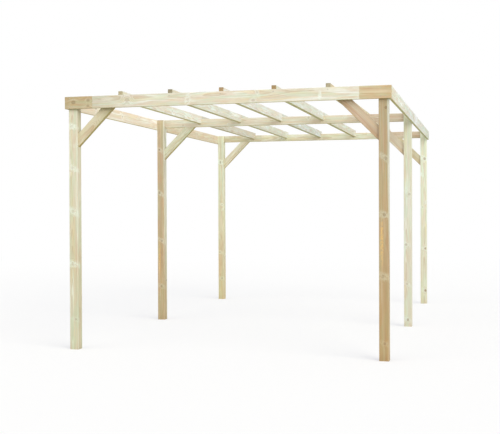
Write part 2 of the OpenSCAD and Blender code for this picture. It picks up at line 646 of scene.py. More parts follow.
class TintGroup(ShaderGroup):
    """Puts the wood's colours, gloss and relief together from the masks.

    The undersides are painted darker and yellower: painted shade.

    Attributes:
        COLOURS: the colours that the group takes.
        MASKS: the masks of the grain and the knots.
        PLACES: the masks of the timber's faces and ends, and the amount of stain.
        LAYERS: each layer's mask, how much of it shows, and its colour, from the bottom up.
        PAINTED_UNDERSIDE_SHADE: what the colours are multiplied by on an underside, as painted
            shade.
        CLOUD_SCALE: noise scale of the patches of stain.
        CLOUD_DETAIL: how many finer noises the patches have.
        CLOUD_EDGE: the noise at which a patch starts and is full.
        END_COVER: how much of a cut end is end wood.
        END_RINGS: how dark the rings are on a cut end.
        SHADE: how much lighter a fibre is than its valley, and how dark the valley is.
        DULL: roughness of the long faces, what a cut end adds, and what late wood adds.
        RELIEF: what fibres, late wood and a knot's rim add, as shares of the relief's height.
    """

    COLOURS = (
        "Pale", "Warm", "Late Wood", "Rosy", "Amber Wood", "Resin Wood", "Milky", "Sap Wood",
        "Green", "Knot", "End Wood",
    )
    MASKS = (
        "Late", "Sap", "Streak", "Broad", "Blush", "Amber", "Fibre", "Core", "Rim", "Halo",
        "Resin", "Plug",
    )
    PLACES = ("End", "Edge", "Near End", "Far", "Stain", "Under")
    LAYERS = (
        ("Broad", 0.60, "Warm"),
        ("Streak", 0.45, "Warm"),
        ("Amber", 0.50, "Amber Wood"),
        ("Blush", 0.55, "Rosy"),
        ("Resin", 1.00, "Resin Wood"),
        ("Sap", 0.85, "Sap Wood"),
        ("Late", 0.40, "Late Wood"),
        ("Stain", 1.00, "Green"),
        ("Halo", 0.80, "Milky"),
        ("Core", 0.80, "Knot"),
        ("Rim", 0.50, "Knot"),
        ("Near End", 0.16, "Late Wood"),
        # Paler planed edges: partly wear, partly a painted highlight
        ("Edge", 0.30, "Pale"),
    )
    PAINTED_UNDERSIDE_SHADE = (0.80, 0.75, 0.45)
    CLOUD_SCALE = (4.0, 30.0, 30.0)
    CLOUD_DETAIL = 4.0
    CLOUD_EDGE = (0.44, 0.62)
    END_COVER = 0.94
    END_RINGS = 0.4
    SHADE = (0.07, 0.95)
    DULL = (0.68, 0.12, -0.06)
    RELIEF = (0.35, 0.5, -0.8)

    def __init__(self) -> None:
        """Builds the group."""
        inputs = {name: Kind.COLOUR for name in (*self.COLOURS, "Drift")}
        inputs |= {name: Kind.NUMBER for name in (*self.MASKS, *self.PLACES)}
        outputs = {"Color": Kind.COLOUR, "Roughness": Kind.NUMBER, "Height": Kind.NUMBER}
        super().__init__("pine_tint", {**inputs, "Point": Kind.VECTOR}, outputs)
        g, ins, outs = self.graph, self.ins, self.outs
        g.put(outs["Color"], self._colour())
        dull, end_dull, late_dull = self.DULL
        rough = g.math("MULTIPLY_ADD", ins["End"], end_dull, dull)
        g.put(outs["Roughness"], g.math("MULTIPLY_ADD", ins["Late"], late_dull, rough))
        fibre_high, late_high, rim_high = self.RELIEF
        relief = g.math("MULTIPLY_ADD", ins["Fibre"], fibre_high, g.times(ins["Late"], late_high))
        g.put(outs["Height"], g.math("MULTIPLY_ADD", ins["Rim"], rim_high, relief))

    def _colour(self) -> Socket:
        """Lays the wood's colours over one another.

        Returns:
            The colour of the wood.
        """
        g, ins = self.graph, self.ins
        # The stain lies in patches, and the late wood stops at a knot's plug
        cloud = g.noise(ins["Point"], self.CLOUD_SCALE, self.CLOUD_DETAIL).outputs["Fac"]
        masks = {name: ins[name] for name, _, _ in self.LAYERS}
        masks["Stain"] = g.times(g.rise(cloud, *self.CLOUD_EDGE), ins["Stain"])
        masks["Late"] = g.times(ins["Late"], g.math("SUBTRACT", 1.0, ins["Plug"]))
        wood = ins["Pale"]
        for name, amount, colour in self.LAYERS:
            wood = g.blend(g.times(masks[name], amount), wood, ins[colour])
        # Cut ends, the painted shade on the undersides, and the change towards the far end, which
        # on the posts is painted light, lie over all the layers
        cut = g.blend(g.times(ins["Late"], self.END_RINGS), ins["End Wood"], ins["Knot"])
        wood = g.blend(g.times(ins["End"], self.END_COVER), wood, cut)
        wood = g.blend(ins["Under"], wood, g.blend(1.0, wood, self.PAINTED_UNDERSIDE_SHADE, "MULTIPLY"))
        wood = g.blend(ins["Far"], wood, g.blend(1.0, wood, ins["Drift"], "MULTIPLY"))
        shade = g.math("MULTIPLY_ADD", ins["Fibre"], *self.SHADE)
        return g.blend(1.0, wood, g.join(shade, shade, shade), "MULTIPLY")


class PineGroups:
    """The shader groups that every pine finish is made of."""

    def __init__(self) -> None:
        """Builds each group once."""
        self.grain = GrainGroup()
        self.knot = KnotGroup()
        self.faces = FaceGroup()
        self.splice = SpliceGroup()
        self.tint = TintGroup()


# ---------------------------------------------------------------------------
# Timbers
# ---------------------------------------------------------------------------


@dataclass(frozen=True)
class Tone:
    """The colours of one length of pine, all worked out from the one that shows most.

    Attributes:
        base: the overall display colour.
        contrast: how strongly the bands differ from it.
        stain: how much of the preservative's green is left in patches.
        end: display colour of the cut ends.
        sap: display colour of the sapwood.
        drift: what the colours are multiplied by at the far end; on the posts this is painted
            light, which makes the tops lighter.
        reach: where that drift is complete, from -1 at the near end to 1 at the far end.
        SHARES: each colour's share of the base, for a contrast of 1.
    """

    base: str
    contrast: float = 1.0
    stain: float = 0.35
    end: str = "C2AC80"
    sap: str = "DDDABF"
    drift: Colour = (1.0, 1.0, 1.0)
    reach: float = 1.0

    SHARES = {
        "Pale": (1.11, 1.13, 1.18),
        "Warm": (0.91, 0.84, 0.74),
        "Amber Wood": (1.03, 0.90, 0.68),
        "Resin Wood": (1.30, 1.18, 0.92),
        "Late Wood": (0.72, 0.58, 0.43),
        "Rosy": (0.96, 0.83, 0.78),
        "Milky": (1.10, 1.18, 1.26),
        "Green": (0.86, 0.97, 0.89),
        "Knot": (0.48, 0.33, 0.22),
    }

    def colours(self) -> dict[str, Colour]:
        """Works out each colour as the base times a share raised to the contrast.

        Returns:
            The linear colours by the names of the tint group's inputs.
        """
        base = np.array(linear(self.base))
        found = {
            name: tuple(float(v) for v in base * np.array(share) ** self.contrast)
            for name, share in self.SHARES.items()
        }
        return {**found, "Sap Wood": linear(self.sap), "End Wood": linear(self.end)}


class Face(Enum):
    """The long face of a timber that a knot shows on, in the timber's own directions."""

    MINUS_Y = (-1, 0)
    PLUS_Y = (1, 0)
    MINUS_Z = (0, -1)
    PLUS_Z = (0, 1)


@dataclass(frozen=True)
class Knot:
    """One branch in a timber.

    Attributes:
        along: distance from the middle of the timber, in metres.
        face: the long face it shows on.
        across: distance from the middle line of that face, in metres.
        radius: radius of the branch, in metres.
        dark: how dark its core is, from 0 to 1.
        milk: how pale the resin-poor wood round it is, from 0 to 1.
        slant: how far the pale wood leans along the timber.
        resin: how golden the streak of resin through it is, from 0 to 1.
    """

    along: float
    face: Face = Face.MINUS_Y
    across: float = 0.0
    radius: float = 0.008
    dark: float = 0.7
    milk: float = 0.3
    slant: float = 0.4
    resin: float = 0.0


class End(Enum):
    """An end of a timber, as the way to it along the timber."""

    NEAR = -1
    FAR = 1


@dataclass(frozen=True)
class Splice:
    """A finger joint, with a length of another tone beyond it.

    Attributes:
        along: distance from the middle of the timber, in metres.
        end: the end that the other length runs to.
        tone: colours of the other length.
    """

    along: float
    end: End
    tone: Tone


class Grain(Enum):
    """Which way a timber runs, as the turn of its own directions in radians.

    The first of these runs to the right, to the back, upwards, or up the brace.
    """

    ALONG_X = (0.0, 0.0, 0.0)
    ALONG_Y = (0.0, 0.0, math.pi / 2)
    ALONG_Z = (0.0, -math.pi / 2, 0.0)
    RISING_RIGHT = (0.0, -math.pi / 4, 0.0)
    RISING_LEFT = (0.0, -math.pi * 3 / 4, 0.0)


@dataclass
class Timber:
    """One squared timber of the frame and how its wood looks.

    Where a value below is drawn, its pair of numbers holds the least and the most.

    Attributes:
        node: name of its node.
        grain: which way it runs.
        tone: its colours.
        section: thickness and height in its own directions, in metres.
        knots: the branches that show, or none to have some drawn.
        splices: finger joints, if it has any.
        ring: width of a growth ring, in metres.
        heart_at: place of the heart across the timber, or none to have it drawn.
        sapwood: distance from the heart at which the sapwood starts, in metres.
        stretch: how much longer than usual its streaks are.
        FIRST_LETTER: what the first letter of the node's name counts for in its draws.
        SEEDS: range of the seed of the noises.
        POST_LEAST: thickness above which a timber holds the heart of its log, in metres.
        HEART_INSIDE: how far the heart of a post lies from its middle, in thicknesses.
        HEART_BESIDE: how far the heart lies outside a thinner timber, in metres.
        HEART_UP: how far the heart lies above or below the middle at most, in heights.
        KNOTS_MOST: the most knots that are drawn.
        KNOT_FIRST: distance of the first drawn knot from the near end, in metres.
        KNOT_STEP: distance from one drawn knot to the next, in metres.
        KNOT_LAST: distance that is kept clear at the far end, in metres.
        KNOT_ACROSS: farthest that a drawn knot lies off the middle line, in widths.
        KNOT_RADIUS: radius of a drawn knot, in metres.
        KNOT_DARK: how dark the core of a drawn knot is.
        KNOT_SLANT: farthest that the pale wood round a drawn knot leans.
    """

    node: str
    grain: Grain
    tone: Tone
    section: Pair
    knots: tuple[Knot, ...] = ()
    splices: tuple[Splice, ...] = ()
    ring: float = 0.0055
    heart_at: Optional[Pair] = None
    sapwood: float = NO_SAPWOOD
    stretch: float = 1.0

    FIRST_LETTER = 3
    SEEDS = (1.0, 60.0)
    POST_LEAST = 0.06
    HEART_INSIDE = (0.0, 0.45)
    HEART_BESIDE = (0.036, 0.12)
    HEART_UP = 0.35
    KNOTS_MOST = 5
    KNOT_FIRST = (0.1, 0.4)
    KNOT_STEP = (0.35, 0.75)
    KNOT_LAST = 0.05
    KNOT_ACROSS = 0.32
    KNOT_RADIUS = (0.006, 0.013)
    KNOT_DARK = (0.3, 0.8)
    KNOT_SLANT = 0.5

    def box(self) -> tuple[np.ndarray, np.ndarray]:
        """Gives the lowest and highest corners of the node."""
        low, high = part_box(self.node)
        return np.array(low, dtype=float), np.array(high, dtype=float)

    def length(self) -> float:
        """Works out how long the timber is.

        Returns:
            The longest side of the node's box, or for a brace the diagonal, in metres.
        """
        low, high = self.box()
        size = high - low
        if self.grain in (Grain.RISING_LEFT, Grain.RISING_RIGHT):
            return float(math.hypot(size[0], size[2]))
        return float(size.max())

    def draw(self) -> np.random.Generator:
        """Gives a generator that depends on the node's name only."""
        letters = enumerate(self.node, start=self.FIRST_LETTER)
        return np.random.default_rng(sum(ord(letter) * weight for weight, letter in letters))

    def heart(self) -> Triple:
        """Places the heart of the log, beside a board or inside a post.

        Returns:
            A seed for the noises, and the heart's place across the timber in metres.
        """
        draw = self.draw()
        thick, high = self.section
        seed = float(draw.uniform(*self.SEEDS))
        if self.heart_at:
            return seed, *self.heart_at
        if thick > self.POST_LEAST:
            aside = thick * draw.uniform(*self.HEART_INSIDE)
        else:
            side = draw.choice([-1.0, 1.0])
            aside = side * (thick / 2 + draw.uniform(*self.HEART_BESIDE))
        up = high * draw.uniform(-self.HEART_UP, self.HEART_UP)
        return seed, float(aside), float(up)

    def all_knots(self) -> list[Knot]:
        """Gives the stated knots, or a few small ones drawn along the timber.

        Returns:
            The knots.
        """
        if self.knots:
            return list(self.knots)
        draw = self.draw()
        faces = list(Face)
        found: list[Knot] = []
        half = self.length() / 2
        place = -half + draw.uniform(*self.KNOT_FIRST)
        while place < half - self.KNOT_LAST and len(found) < self.KNOTS_MOST:
            face = faces[int(draw.integers(len(faces)))]
            width = self.section[1] if face in (Face.MINUS_Y, Face.PLUS_Y) else self.section[0]
            across = float(draw.uniform(-self.KNOT_ACROSS, self.KNOT_ACROSS) * width)
            radius = float(draw.uniform(*self.KNOT_RADIUS))
            dark = float(draw.uniform(*self.KNOT_DARK))
            slant = float(draw.uniform(-self.KNOT_SLANT, self.KNOT_SLANT))
            found.append(Knot(float(place), face, across, radius, dark, slant=slant))
            place += draw.uniform(*self.KNOT_STEP)
        return found

    def branch(self, knot: Knot) -> dict[str, Value]:
        """Finds where a knot meets its face and which way its branch grows.

        Args:
            knot: the knot.

        Returns:
            The values of the knot group's inputs.
        """
        out_y, out_z = knot.face.value
        place_y = out_y * self.section[0] / 2 if out_y else knot.across
        place_z = out_z * self.section[1] / 2 if out_z else knot.across
        return {
            "Root": (knot.along, place_y, place_z),
            "Turn": math.atan2(out_z, out_y),
            "Radius": knot.radius,
            "Dark": knot.dark,
            "Milk": knot.milk,
            "Slant": knot.slant,
            "Resin": knot.resin,
        }


class PineFinisher:
    """Dresses timbers in planed, pressure-treated pine.

    Attributes:
        BUMP: strength of the relief, from 0 to 1.
        BUMP_HEIGHT: height of the relief, in metres.
        GLOSS: how much the wood reflects, where 0.5 is usual.
        JUMP: how far away the grain beyond a finger joint is read along, through and
            across the timber, in metres.
    """

    BUMP = 0.35
    BUMP_HEIGHT = 0.0012
    GLOSS = 0.3
    JUMP = (2.7, 0.013, 0.021)

    def __init__(self, groups: PineGroups) -> None:
        """Keeps the shader groups."""
        self.groups = groups

    def dress(self, timber: Timber, target: bpy.types.Object) -> None:
        """Builds the timber's material and puts it on every slot of its object.

        Args:
            timber: the timber to dress.
            target: the object that shows it.
        """
        material = self.material(timber)
        if not target.material_slots:
            target.data.materials.append(material)
        for slot in target.material_slots:
            slot.material = material

    def material(self, timber: Timber) -> bpy.types.Material:
        """Builds the procedural wood of one timber.

        Args:
            timber: the timber whose directions, knots and tones are used.

        Returns:
            The material.
        """
        material, g = blank_material(f"pine_{timber.node}")
        low, high = timber.box()
        middle = tuple(float(v) for v in (low + high) / 2)
        # Where each colour shows, with the grain read elsewhere beyond each finger joint
        where = g.node("ShaderNodeTexCoord").outputs
        point = self._turned(g, where["Object"], middle, timber.grain)
        colours, inside, lines = self._spliced(g, timber, point)
        masks = self._masks(g, timber, point, inside, where["Normal"])
        masks["Rim"] = g.math("MAXIMUM", masks["Rim"], lines)
        values = {**colours, **masks, "Point": inside, "Drift": timber.tone.drift}
        tint = self.groups.tint.use(g, values)
        # Relief and gloss
        bump = g.node("ShaderNodeBump")
        bump.inputs["Strength"].default_value = self.BUMP
        bump.inputs["Distance"].default_value = self.BUMP_HEIGHT
        g.put(bump.inputs["Height"], tint["Height"])
        shader = g.node("ShaderNodeBsdfPrincipled")
        shader.inputs["Specular IOR Level"].default_value = self.GLOSS
        g.put(shader.inputs["Base Color"], tint["Color"])
        g.put(shader.inputs["Roughness"], tint["Roughness"])
        g.put(shader.inputs["Normal"], bump.outputs["Normal"])
        g.end(shader.outputs["BSDF"])
        return material

    @staticmethod
    def _turned(graph: Graph, source: Socket, centre: Triple, grain: Grain) -> Socket:
        """Reads a place or a direction in the timber's own directions.

        Args:
            graph: the material's graph.
            source: the place or the direction.
            centre: the middle of the timber, or 0 for a direction.
            grain: which way the timber runs.

        Returns:
            The turned place or direction.
        """
        mapping = graph.node("ShaderNodeMapping", vector_type="TEXTURE")
        mapping.inputs["Location"].default_value = centre
        mapping.inputs["Rotation"].default_value = grain.value
        graph.put(mapping.inputs["Vector"], source)
        return mapping.outputs["Vector"]

    def _masks(
        self, g: Graph, timber: Timber, point: Socket, inside: Socket, facing: Socket
    ) -> dict[str, Value]:
        """Works out where each colour of the wood shows.

        Args:
            g: the material's graph.
            timber: the timber.
            point: the place in the timber's own directions.
            inside: the place that the grain is read at.
            facing: the direction that the surface faces.

        Returns:
            The values of the tint group's masks and places.
        """
        thick, high = timber.section
        half = (timber.length() / 2, thick / 2, high / 2)
        normal = self._turned(g, facing, (0.0, 0.0, 0.0), timber.grain)
        surface = {"Point": point, "Normal": normal, "Upright Normal": facing}
        surface |= {"Half": half, "Reach": timber.tone.reach}
        faces = self.groups.faces.use(g, surface)
        knots = self._knots(g, timber, point)
        log = {"Point": inside, "Heart": timber.heart(), "Bend": knots.pop("Bend")}
        log |= {"Ring": timber.ring, "Sapwood": timber.sapwood, "Stretch": timber.stretch}
        grain = self.groups.grain.use(g, log)
        masks = {name: grain[name] for name in TintGroup.MASKS if name not in knots}
        places = {name: faces[name] for name in TintGroup.PLACES if name != "Stain"}
        return {**masks, **knots, **places, "Stain": timber.tone.stain}

    def _spliced(
        self, g: Graph, timber: Timber, point: Socket
    ) -> tuple[dict[str, Value], Socket, Value]:
        """Changes colours and grain beyond each finger joint.

        Args:
            g: the material's graph.
            timber: the timber.
            point: the place in the timber's own directions.

        Returns:
            The colours, the place that the grain is read at, and the joints' lines.
        """
        colours: dict[str, Value] = dict(timber.tone.colours())
        inside: Socket = point
        lines: Value = 0.0
        along, through, across = self.JUMP
        for number, splice in enumerate(timber.splices, start=1):
            side = float(splice.end.value)
            values = {"Point": point, "Along": splice.along, "Side": side}
            cut = self.groups.splice.use(g, values)
            for name, other in splice.tone.colours().items():
                colours[name] = g.blend(cut["Beyond"], colours[name], other)
            jump = (along * number, through, across * side)
            inside = g.vector("ADD", inside, g.scale(jump, cut["Beyond"]))
            lines = g.math("MAXIMUM", lines, cut["Line"])
        return colours, inside, lines

    def _knots(self, g: Graph, timber: Timber, point: Socket) -> dict[str, Value]:
        """Joins the masks of every knot in the timber.

        Args:
            g: the material's graph.
            timber: the timber.
            point: the place in the timber's own directions.

        Returns:
            The masks by the names of the knot group's outputs.
        """
        masks: dict[str, Value] = {name: 0.0 for name in KnotGroup.MASKS}
        for knot in timber.all_knots():
            spot = self.groups.knot.use(g, {"Point": point, **timber.branch(knot)})
            for name in masks:
                masks[name] = g.math("MAXIMUM", masks[name], spot[name])
        return masks


# ---------------------------------------------------------------------------
# Screws
# ---------------------------------------------------------------------------


@dataclass(frozen=True)
class ZincFinish:
    """Passivated zinc on the screws, slightly blotched.

    Attributes:
        bright: display colour of the bright patches.
        dull: display colour of the dull patches.
        patches: patches to a metre.
        detail: how many finer noises they have.
        edge: the noise at which a dull patch starts and is full.
        roughness: roughness of the bright patches.
        rougher: what a dull patch adds to it.
    """

    bright: str = "C9C6B6"
    dull: str = "9C9682"
    patches: float = 400.0
    detail: float = 3.0
    edge: Pair = (0.35, 0.7)
    roughness: float = 0.35
    rougher: float = 0.2

    def material(self) -> bpy.types.Material:
        """Builds the metal.

        Returns:
            A material whose colour and roughness vary over a few millimetres.
        """
        material, g = blank_material("zinc_plate")
        where = g.node("ShaderNodeTexCoord").outputs["Object"]
        cloud = g.noise(where, (self.patches, self.patches, self.patches), self.detail)
        blotch = g.rise(cloud.outputs["Fac"], *self.edge)
        colour = g.blend(blotch, linear(self.bright), linear(self.dull))
        rough = g.math("MULTIPLY_ADD", blotch, self.rougher, self.roughness)
        shader = g.node("ShaderNodeBsdfPrincipled")
        shader.inputs["Metallic"].default_value = 1.0
        g.put(shader.inputs["Base Color"], colour)
        g.put(shader.inputs["Roughness"], rough)
        g.end(shader.outputs["BSDF"])
        return material


@dataclass(frozen=True)
class Seat:
    """Where a screw head lies and which way it faces.

    Attributes:
        place: middle of the head, on the wood, in metres.
        facing: direction out of the wood.
    """

    place: Triple
    facing: Triple


@dataclass
class ScrewSet:
    """A set of like screws, joined into one piece.

    Attributes:
        name: name of the piece.
        seats: where each head lies.
        radius: radius of a head, in metres.
        dome: height of a head above the wood, in metres.
        recess: depth of the star recess, in metres.
        lobe: how far the star's lobes swell, as a share of the radius.
        sides: corners round a head.
        spin: how much further each head is turned than the last, in radians.
        LOBES: lobes of the star.
        FOOT: height of the head's foot, inside the wood, in metres.
        RIM_STEPS: points along the rim's quarter round.
        RIM: how far the rim goes in and up, in domes.
        CREST: radius and height of the dome's shoulder, as shares.
        MOUTH: radius of the recess at its mouth, as a share.
        FLOOR: radius of its floor, as a share.
    """

    name: str
    seats: list[Seat] = field(default_factory=list)
    radius: float = 0.0055
    dome: float = 0.0005
    recess: float = 0.0022
    lobe: float = 0.16
    sides: int = 36
    spin: float = 0.7

    LOBES = 6
    FOOT = -0.001
    RIM_STEPS = 4
    RIM = (0.6, 0.7)
    CREST = (0.7, 0.9)
    MOUTH = 0.5
    FLOOR = 0.42

    def profile(self) -> np.ndarray:
        """Gives the outline of the head from its foot to the middle of the recess.

        The rim is a quarter round: its radius falls by a share of the dome times 1 less
        the cosine of the angle, and its height is a share of the dome times the sine. A
        shallow dome follows, then the wall of the recess goes down to its flat floor.

        Returns:
            Rows of radius and height in metres, and 1 where the star's lobes show or 0.
        """
        r, top, floor = self.radius, self.dome, self.dome - self.recess
        rim_in, rim_up = self.RIM
        crest_in, crest_up = self.CREST
        bend = np.linspace(0.0, math.pi / 2, self.RIM_STEPS)
        rim_r = r - rim_in * top * (1 - np.cos(bend))
        rim = np.column_stack([rim_r, rim_up * top * np.sin(bend), 0 * bend])
        foot = [[r, self.FOOT, 0.0]]
        rest = [
            [crest_in * r, crest_up * top, 0.0],
            [self.MOUTH * r, top, 1.0],
            [self.FLOOR * r, floor, 1.0],
            [0.0, floor, 0.0],
        ]
        return np.vstack([foot, rim, rest])

    def head(self) -> tuple[np.ndarray, np.ndarray, np.ndarray]:
        """Turns the outline into one head that looks along +Z.

        Each point is the outline's radius times the cosine and sine of the angle. Where
        the star shows, the radius swells with the cosine of six times the angle.

        Returns:
            The points, the four-sided faces between the rows, and the three-sided faces of
            the floor and the foot, as point numbers.
        """
        rows = self.profile()
        # A ring of points for each row but the last, then the middles of floor and foot
        angle = np.linspace(0.0, 2 * math.pi, self.sides, endpoint=False)
        swell = self.lobe * np.cos(self.LOBES * angle) * rows[:-1, 2:3]
        reach = rows[:-1, 0:1] * (1.0 + swell)
        height = np.repeat(rows[:-1, 1:2], self.sides, axis=1)
        grid = np.stack([reach * np.cos(angle), reach * np.sin(angle), height], axis=-1)
        ends = [[0.0, 0.0, rows[-1, 1]], [0.0, 0.0, rows[0, 1]]]
        points = np.vstack([grid.reshape(-1, 3), ends])
        # Four-sided faces between each ring of points and the next
        ring = np.arange(self.sides)
        after = (ring + 1) % self.sides
        step = np.arange(len(rows) - 2)[:, None] * self.sides
        corners = [step + ring, step + after, step + self.sides + after, step + self.sides + ring]
        quads = np.stack(corners, axis=-1).reshape(-1, 4)
        # A fan of three-sided faces closes the floor, and one closes the foot
        last = (len(rows) - 2) * self.sides
        top = np.full_like(ring, len(points) - 2)
        floor = np.stack([last + ring, last + after, top], axis=-1)
        foot = np.stack([after, ring, top + 1], axis=-1)
        return points, quads, np.vstack([floor, foot])

    def build(self, metal: bpy.types.Material) -> bpy.types.Object:
        """Builds every head of the set as one mesh.

        Args:
            metal: the material of the screws.

        Returns:
            The finished piece, riding on the frame.
        """
        head, quads, fans = self.head()
        points = []
        faces = []
        for number, seat in enumerate(self.seats):
            turn = Vector(seat.facing).to_track_quat("Z", "Y").to_matrix()
            spun = np.array(turn @ Matrix.Rotation(self.spin * number, 3, "Z"))
            points.append(head @ spun.T + np.array(seat.place))
            first = number * len(head)
            faces += (quads + first).tolist() + (fans + first).tolist()
        piece = mesh_object(self.name, np.vstack(points).tolist(), faces, metal)
        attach(piece, "root")
        return piece


# ---------------------------------------------------------------------------
# Sub-assemblies
# ---------------------------------------------------------------------------


class Side(Enum):
    """A side of the carport, as the way it faces along the width."""

    LEFT = -1.0
    RIGHT = 1.0

    @classmethod
    def of(cls, place: str) -> "Side":
        """Reads the side at the end of a place's name, such as front_left."""
        return cls[place.split("_")[-1].upper()]


def shared_middle(node: str, other: str) -> float:
    """Finds the middle of the stretch from front to back that two nodes share.

    Args:
        node: name of one node.
        other: name of the other node.

    Returns:
        Its place from front to back, in metres.
    """
    low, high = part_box(node)
    other_low, other_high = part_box(other)
    return (max(low[1], other_low[1]) + min(high[1], other_high[1])) / 2


class SubAssembly:
    """A set of timbers that do one job, with the screws that hold them."""

    def timbers(self) -> list[Timber]:
        """Describes the timbers."""
        raise NotImplementedError

    def screws(self) -> list[ScrewSet]:
        """Describes the screws."""
        return []

    def build(
        self, frame: dict[str, Any], finisher: PineFinisher, zinc: bpy.types.Material
    ) -> None:
        """Dresses the timbers and builds the screws.

        Args:
            frame: the loaded frame.
            finisher: what dresses the timbers.
            zinc: the material of the screws.
        """
        for timber in self.timbers():
            finisher.dress(timber, frame["nodes"][timber.node])
            LOG.info("dressed %s", timber.node)
        for screw_set in self.screws():
            screw_set.build(zinc)
            LOG.info("built %s with %d screws", screw_set.name, len(screw_set.seats))


@dataclass
class Posts(SubAssembly):
    """The six square posts.

    Attributes:
        side: side of a post, in metres.
        tones: colours of each post.
        spots: knots on the front of each post, as height, place to the right of the middle
            line, radius, darkness and paleness round it.
        streaks: how much longer than usual the streaks of a post are.
        tan: the posts of tan heartwood with a strip of sapwood on the right.
        tan_heart: place of the heart of a tan post's log across it, in metres.
        tan_sapwood: distance from that heart at which the sapwood starts, in metres.
        resin: height, place to the right of the middle line and strength of a streak of
            resin.
        resin_radius: half the width of that streak, in metres.
        spot_slant: least and most that the pale wood round a stated knot leans.
        side_along: farthest that a drawn knot lies from the post's middle, in metres.
        side_across: farthest that it lies off the middle line, in metres.
        side_radius: its least and its greatest radius, in metres.
        SEED: the first post's seed for the drawn knots.
    """

    side: float = 0.090
    # Each post's drift lightens it towards its top: painted light against the shade that the
    # roof's timbers cast there
    tones: dict[str, Tone] = field(
        default_factory=lambda: {
            "front_left": Tone("D2D2BC", contrast=1.35, stain=0.5, drift=(1.13, 1.10, 1.14)),
            "front_right": Tone("BCA781", contrast=1.7, stain=0.3, drift=(1.02, 1.14, 1.38)),
            "middle_left": Tone("BFAF8C", contrast=2.3, stain=0.3, drift=(1.33, 1.44, 1.74)),
            "middle_right": Tone("DCDDCF", contrast=1.3, stain=0.45, drift=(1.02, 1.05, 1.03)),
            "back_left": Tone("D8D2B1", contrast=1.5, stain=0.3, drift=(1.23, 1.41, 1.69)),
            "back_right": Tone("DCDFCD", contrast=1.4, stain=0.35, drift=(1.20, 1.28, 1.38)),
        }
    )
    spots: dict[str, tuple[tuple[float, ...], ...]] = field(
        default_factory=lambda: {
            "front_left": (
                (2.21, -0.014, 0.012, 0.15, 0.9),
                (1.80, -0.010, 0.013, 0.25, 0.8),
                (1.37, -0.004, 0.015, 0.20, 0.8),
                (0.85, -0.012, 0.014, 0.25, 0.9),
                (0.30, 0.020, 0.010, 0.45, 0.3),
            ),
            "front_right": (
                (2.30, 0.020, 0.012, 0.60, 0.0),
                (1.84, 0.020, 0.013, 0.45, 1.0),
                (1.33, 0.004, 0.014, 0.45, 1.0),
                (0.77, -0.010, 0.015, 0.30, 1.0),
                (0.16, 0.008, 0.011, 0.40, 0.4),
            ),
            "middle_left": (
                (2.13, -0.016, 0.012, 0.55, 0.4),
                (1.59, -0.018, 0.013, 0.50, 0.65),
                (0.99, 0.012, 0.012, 0.50, 0.6),
                (0.42, 0.004, 0.012, 0.50, 0.5),
            ),
            "middle_right": (
                (1.55, 0.020, 0.013, 0.50, 0.4),
                (0.96, -0.020, 0.012, 0.55, 0.3),
                (0.50, -0.010, 0.010, 0.50, 0.3),
                (0.08, 0.000, 0.014, 0.70, 0.4),
            ),
            "back_left": (
                (2.10, -0.005, 0.014, 0.60, 0.3),
                (1.45, 0.015, 0.009, 0.40, 0.2),
                (0.72, -0.020, 0.012, 0.50, 0.3),
                (0.32, 0.012, 0.012, 0.60, 0.3),
            ),
            "back_right": (
                (2.10, 0.016, 0.016, 0.75, 0.3),
                (1.40, -0.012, 0.010, 0.40, 0.2),
                (0.80, 0.023, 0.013, 0.85, 0.3),
                (0.19, 0.026, 0.015, 0.90, 0.3),
            ),
        }
    )
    streaks: float = 2.5
    tan: tuple[str, ...] = ("front_right", "middle_left")
    tan_heart: Pair = (-0.030, 0.098)
    tan_sapwood: float = 0.1455
    resin: dict[str, Triple] = field(
        default_factory=lambda: {
            "front_right": (1.08, -0.018, 1.0),
            "middle_left": (0.78, -0.020, 0.5),
        }
    )
    resin_radius: float = 0.017
    spot_slant: Pair = (0.1, 0.7)
    side_along: float = 0.9
    side_across: float = 0.025
    side_radius: Pair = (0.008, 0.013)

    SEED = 11

    def timbers(self) -> list[Timber]:
        """Describes the posts.

        Returns:
            One timber for each post.
        """
        found = []
        for place, tone in self.tones.items():
            tan = place in self.tan
            found.append(
                Timber(
                    f"post_{place}",
                    Grain.ALONG_Z,
                    tone,
                    (self.side, self.side),
                    tuple(self._knots(place, self.SEED + len(found))),
                    heart_at=self.tan_heart if tan else None,
                    sapwood=self.tan_sapwood if tan else NO_SAPWOOD,
                    stretch=self.streaks,
                )
            )
        return found

    def _knots(self, place: str, seed: int) -> list[Knot]:
        """Gives the knots of one post.

        Args:
            place: which post.
            seed: seed of the drawn knots.

        Returns:
            The stated knots and the resin on the front, and one drawn knot on each of the
            other faces.
        """
        low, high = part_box(f"post_{place}")
        middle = (low[2] + high[2]) / 2
        draw = np.random.default_rng(seed)
        knots = []
        for height, aside, radius, dark, milk in self.spots[place]:
            slant = float(draw.uniform(*self.spot_slant))
            knots.append(Knot(height - middle, Face.MINUS_Y, -aside, radius, dark, milk, slant))
        if place in self.resin:
            height, aside, strength = self.resin[place]
            streak = Knot(
                height - middle,
                Face.MINUS_Y,
                -aside,
                self.resin_radius,
                dark=0.0,
                milk=0.0,
                slant=0.0,
                resin=strength,
            )
            knots.append(streak)
        for face in (Face.MINUS_Z, Face.PLUS_Z, Face.PLUS_Y):
            along = float(draw.uniform(-self.side_along, self.side_along))
            across = float(draw.uniform(-self.side_across, self.side_across))
            radius = float(draw.uniform(*self.side_radius))
            knots.append(Knot(along, face, across, radius))
        return knots


